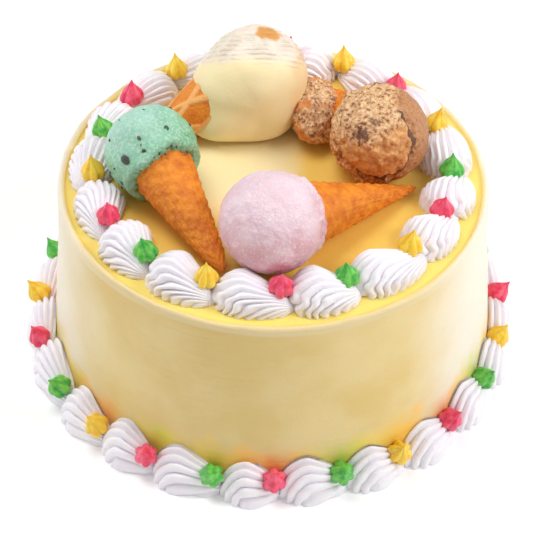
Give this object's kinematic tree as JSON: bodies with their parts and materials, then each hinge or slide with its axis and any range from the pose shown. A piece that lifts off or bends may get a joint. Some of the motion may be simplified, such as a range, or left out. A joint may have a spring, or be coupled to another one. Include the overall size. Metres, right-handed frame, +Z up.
{
  "type": "birthday cake",
  "caption": "Round iced birthday cake with piped shell borders, coloured piped stars and small ice-cream cones lying on top.",
  "frame": {"origin": "middle of the cake's flat underside, on the surface it stands on", "axes": "+Z up through the middle of the cake; -Y is the front, where the strawberry scoop lies; +X is to the right seen from the front"},
  "size_m": [0.2402, 0.2409, 0.143],
  "materials": {
    "yellow_icing": "soft satin whipped icing, pale yellow",
    "white_cream": "piped whipped cream, soft satin",
    "star_red": "piped coloured cream, satin",
    "star_green": "piped coloured cream, satin",
    "star_yellow": "piped coloured cream, satin",
    "ice_mint": "frosty ice cream with chocolate chips",
    "ice_strawberry": "frosty ice cream, smooth",
    "ice_caramel": "crumbly ice cream with a dark ribbon",
    "ice_vanilla": "smooth ice cream",
    "wafer": "baked wafer, dry and matt"
  },
  "bodies": {
    "root": {"cake_body": "yellow_icing", "scoop_mint": "ice_mint", "cone_mint": "wafer", "scoop_strawberry": "ice_strawberry", "cone_strawberry": "wafer", "scoop_caramel": "ice_caramel", "cone_caramel": "wafer", "scoop_vanilla": "ice_vanilla", "cone_vanilla": "wafer", "lump_caramel": "ice_caramel", "top_shell_01": "white_cream", "top_shell_02": "white_cream", "top_shell_03": "white_cream", "top_shell_04": "white_cream", "top_shell_05": "white_cream", "top_shell_06": "white_cream", "top_shell_07": "white_cream", "top_shell_08": "white_cream", "top_shell_09": "white_cream", "top_shell_10": "white_cream", "top_shell_11": "white_cream", "top_shell_12": "white_cream", "top_shell_13": "white_cream", "top_shell_14": "white_cream", "top_shell_15": "white_cream", "top_shell_16": "white_cream", "top_shell_17": "white_cream", "foot_shell_01": "white_cream", "foot_shell_02": "white_cream", "foot_shell_03": "white_cream", "foot_shell_04": "white_cream", "foot_shell_05": "white_cream", "foot_shell_06": "white_cream", "foot_shell_07": "white_cream", "foot_shell_08": "white_cream", "foot_shell_09": "white_cream", "foot_shell_10": "white_cream", "foot_shell_11": "white_cream", "foot_shell_12": "white_cream", "foot_shell_13": "white_cream", "foot_shell_14": "white_cream", "foot_shell_15": "white_cream", "foot_shell_16": "white_cream", "foot_shell_17": "white_cream", "foot_shell_18": "white_cream", "foot_shell_19": "white_cream", "foot_shell_20": "white_cream", "foot_shell_21": "white_cream", "foot_shell_22": "white_cream", "foot_shell_23": "white_cream"}
  },
  "joints": []
}
